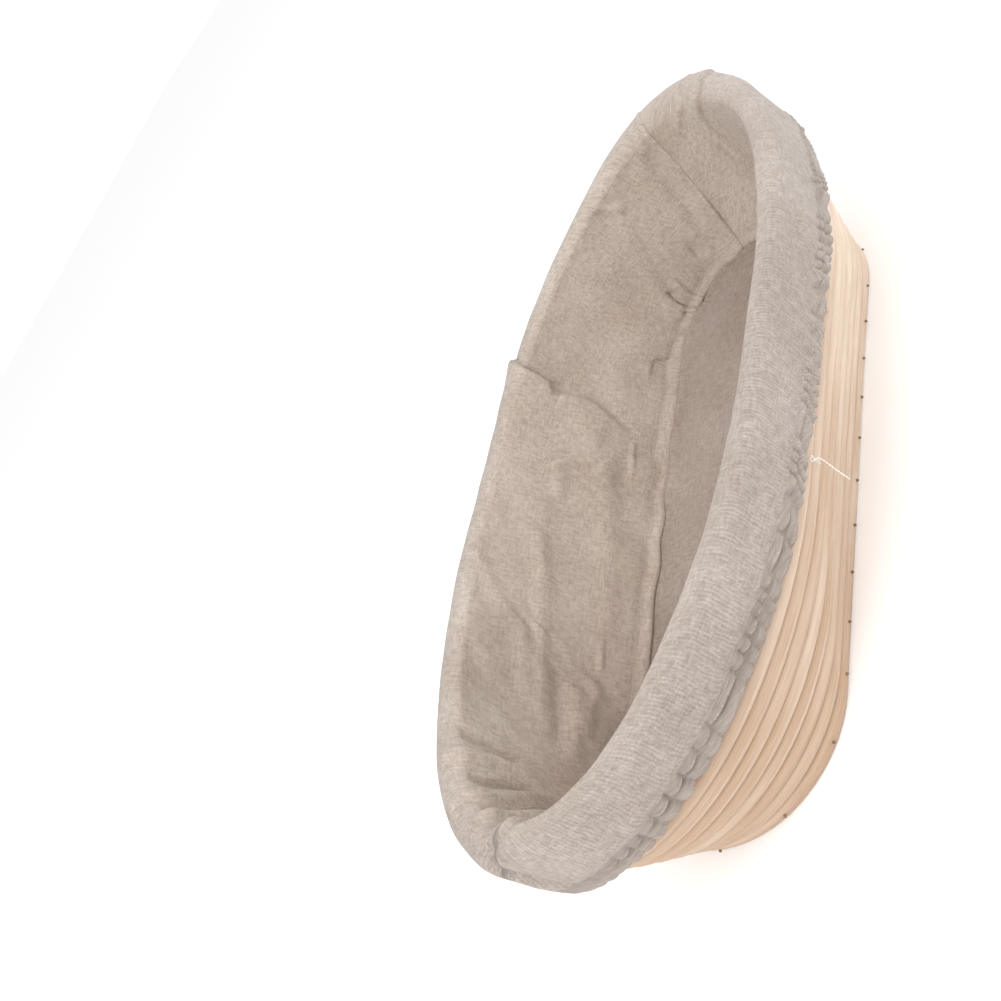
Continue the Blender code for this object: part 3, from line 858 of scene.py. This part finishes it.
def liner_grid():
    """The liner's points and uv, [row, column], and the column of its left seam."""
    lap, split = liner_laps()
    points = liner_profile(lap)
    rim = points[INNER_ROWS + ROLL_ROWS // 2]
    step = np.linalg.norm(np.diff(rim, axis=0), axis=1)
    distance = np.concatenate([[0], np.cumsum(step)])

    def around(place):
        """Metres round the rim from the right seam."""
        return np.interp((place - RIGHT_SEAM) % 1 + RIGHT_SEAM, lap, distance)

    depth = from_rim(points)
    hem = depth[INNER_ROWS + ROLL_ROWS + SKIRT_ROWS]
    u, v = np.meshgrid(distance, depth)
    lift = rumple(u, v, hem, around)
    # The two ends of the lap meet at the right seam.
    lift += (lift[:, :1] - lift[:, -1:]) * np.exp((u - distance[-1]) / 0.006)
    points = points + surface_normals(points) * lift[:, :, None]
    points[:, -1] = points[:, 0]
    # Threads keep their spacing: u is measured along each row from the middle of its panel.
    step = np.linalg.norm(np.diff(points, axis=1), axis=2)
    along = np.concatenate([np.zeros((len(points), 1)), np.cumsum(step, axis=1)], axis=1)
    back, front = np.searchsorted(lap, 0.25), np.searchsorted(lap, 0.75)
    middle = np.where(np.arange(len(lap)) <= split, along[:, [back]], along[:, [front]])
    return points, np.stack([along - middle, v], -1), split


def thicken(piece):
    skin = piece.modifiers.new("thickness", "SOLIDIFY")
    skin.thickness = CLOTH
    skin.offset = 0.0
    skin.use_even_offset = False


def make_side_panels(material):
    points, uv, split = liner_grid()
    pieces = []
    for name, columns in (("back", slice(0, split + 1)), ("front", slice(split, None))):
        mesh = grid_mesh(f"liner_{name}", points[:, columns], uv[:, columns])
        piece = add_piece(f"liner_{name}", mesh, material, "liner")
        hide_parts(f"liner_{name}_panel")
        thicken(piece)
        pieces.append(piece)
    rim = uv[INNER_ROWS + ROLL_ROWS // 2]
    return pieces, (rim[split, 0] - rim[0, 0], uv[-1, 0, 1] - uv[0, 0, 1])


def make_elastic(material):
    """The flat elastic that runs in the hem, close behind the cloth."""
    lap = np.linspace(0, 1, 361)[:-1]
    around = np.arange(len(lap)) / len(lap)
    middle = hem_height(lap) + 0.0036
    off_wood = 0.0001 + 0.4 * (hem_stand(lap) - 0.001)
    rings = []
    for side, rise in ((0, -1), (1, -1), (1, 1), (0, 1)):
        height = middle + rise * ELASTIC_HALF_WIDTH
        x, y = wall(lap, height, off_wood + side * ELASTIC_THICKNESS)
        rings.append(np.stack([x, y, height], -1))
    points = np.array(rings).swapaxes(0, 1)
    points = np.concatenate([points, points[:1]])
    uv = np.stack(np.broadcast_arrays(np.append(around, 1)[:, None], np.arange(5)[None] / 4), -1)
    mesh = grid_mesh("hem_elastic_band", points, uv, tube=True)
    face_outward(mesh)
    piece = add_piece("hem_elastic_band", mesh, material, "liner")
    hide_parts("hem_elastic")


def make_loose_thread(material):
    """A thread end that has come out of the hem: one arm lies along the wood, one stands off."""
    # Each place is a lap, how far below the hem's edge it is, and how far off the wood.
    along_wood = [(0.662, 0.012, 0.001), (0.648, 0.0085, 0.0015), (0.634, 0.006, 0.002)]
    bend = [(0.6215, 0.002, 0.003)]
    standing_off = [(0.627, 0.006, 0.006), (0.633, 0.011, 0.010), (0.640, 0.015, 0.013)]
    places = np.array(along_wood + bend + standing_off)
    line = np.linspace(0, len(places) - 1, 60)
    lap, drop, off = (np.interp(line, np.arange(len(places)), column) for column in places.T)
    height = hem_height(lap) - RUFFLE - drop
    x, y = wall(lap, height, off)
    middle = np.stack([x, y, height], -1)
    for _ in range(4):
        middle[1:-1] = (middle[:-2] + 2 * middle[1:-1] + middle[2:]) / 4
    along = np.gradient(middle, axis=0)
    along /= np.linalg.norm(along, axis=1, keepdims=True)
    side = np.cross(along, [0.3, 1.0, 0.2])
    side /= np.linalg.norm(side, axis=1, keepdims=True)
    over = np.cross(along, side)
    angle = np.arange(8) * np.pi / 4
    ring = side[:, None] * np.cos(angle)[:, None] + over[:, None] * np.sin(angle)[:, None]
    points = middle[:, None] + THREAD_RADIUS * ring
    uv = np.stack(np.broadcast_arrays(line[:, None] / 1000, np.arange(9)[None] / 8000), -1)
    mesh = grid_mesh("loose_thread", points, uv, tube=True)
    face_outward(mesh)
    add_piece("loose_thread", mesh, material, "liner")


def make_floor_panel(material):
    lap = np.linspace(0, 0.5, 260)
    back, front = liner_seam(lap), liner_seam(1 - lap)
    rows = []
    for share in 0.5 - 0.5 * np.cos(np.linspace(0, np.pi, 70)):
        row = mix(back, front, share)
        from_edge = min(share, 1 - share) * (back[:, 1] - front[:, 1])
        rolling = 0.0009 * noise(row[:, 0] / 0.022, (row[:, 1] + 0.4 * row[:, 0]) / 0.016, 9)
        row[:, 2] += smooth(from_edge / 0.010) * rolling - 0.0016 * smooth(from_edge / 0.004)
        rows.append(row)
    points = np.array(rows)
    uv = points[:, :, :2] - np.array([0.0, 0.2])
    mesh = grid_mesh("liner_floor", points, uv)
    face_outward(mesh, join_within=1e-5)
    piece = add_piece("liner_floor", mesh, material, "liner")
    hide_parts("liner_floor_panel")
    thicken(piece)
    return piece


# Stage, lights and camera


def make_stage():
    bpy.ops.mesh.primitive_plane_add(size=12.0, location=(0, 0, -0.0002))
    floor = bpy.context.object
    floor.name = "floor"
    nodes = Nodes("pale_floor")
    nodes.shader.inputs["Base Color"].default_value = (0.97, 0.97, 0.97, 1)
    nodes.shader.inputs["Roughness"].default_value = 0.9
    nodes.shader.inputs["Specular IOR Level"].default_value = 0.1
    floor.data.materials.append(nodes.material)


LIGHTS_AIM = Vector((0, 0, 0.04))


def area_light(name, place, size, power):
    data = bpy.data.lights.new(name, "AREA")
    data.shape = "DISK"
    data.size = size
    data.energy = power
    light = bpy.data.objects.new(name, data)
    light.location = place
    light.rotation_euler = (LIGHTS_AIM - Vector(place)).to_track_quat("-Z", "Y").to_euler()
    bpy.context.scene.collection.objects.link(light)


def make_lights():
    world = bpy.data.worlds.new("studio")
    bpy.context.scene.world = world
    world.use_nodes = True
    backdrop = world.node_tree.nodes["Background"]
    backdrop.inputs["Color"].default_value = (1.0, 1.0, 1.0, 1)
    backdrop.inputs["Strength"].default_value = 1.0
    area_light("key", (-1.15, -0.2, 1.25), 1.2, 15.0)
    area_light("fill", (0.9, -1.2, 1.1), 1.3, 13.0)


def make_camera():
    data = bpy.data.cameras.new("camera")
    data.sensor_width = CAMERA_SENSOR
    data.lens = CAMERA_LENS
    data.clip_start = 0.01
    camera = bpy.data.objects.new("camera", data)
    bpy.context.scene.collection.objects.link(camera)
    turn, down = math.radians(CAMERA_TURN), math.radians(CAMERA_DOWN)
    level = Vector((math.sin(turn), math.cos(turn), 0)) * math.cos(down)
    look = level - Vector((0, 0, math.sin(down)))
    place = CAMERA_AIM - look * CAMERA_DISTANCE
    facing = look.to_track_quat("-Z", "Y").to_matrix()
    roll = Matrix.Rotation(math.radians(CAMERA_ROLL), 3, look)
    camera.matrix_world = Matrix.Translation(place) @ (roll @ facing).to_4x4()
    bpy.context.scene.camera = camera


def main():
    bpy.context.scene.view_settings.view_transform = "Standard"
    make_camera()
    make_stage()
    make_lights()
    cane = rattan()
    make_canes(cane)
    make_core(cane)
    metal = steel()
    make_brads(metal)
    darken_pins(metal)
    cloth = linen("linen_fine", INSIDE_COLOUR, OUTSIDE_COLOUR)
    panels, size = make_side_panels(cloth)
    for panel in panels:
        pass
    # The floor panel's linen is darkened as painted shade.
    floor = make_floor_panel(linen("linen_floor_fine", SHADED_FLOOR_COLOUR, SHADED_FLOOR_COLOUR))
    white = elastic()
    make_elastic(white)
    make_loose_thread(white)
    size = (FLOOR_PANEL_WIDTH, 2 * (CORE_HALF_LENGTH + FLOOR_PANEL_WIDTH / 2))


main()
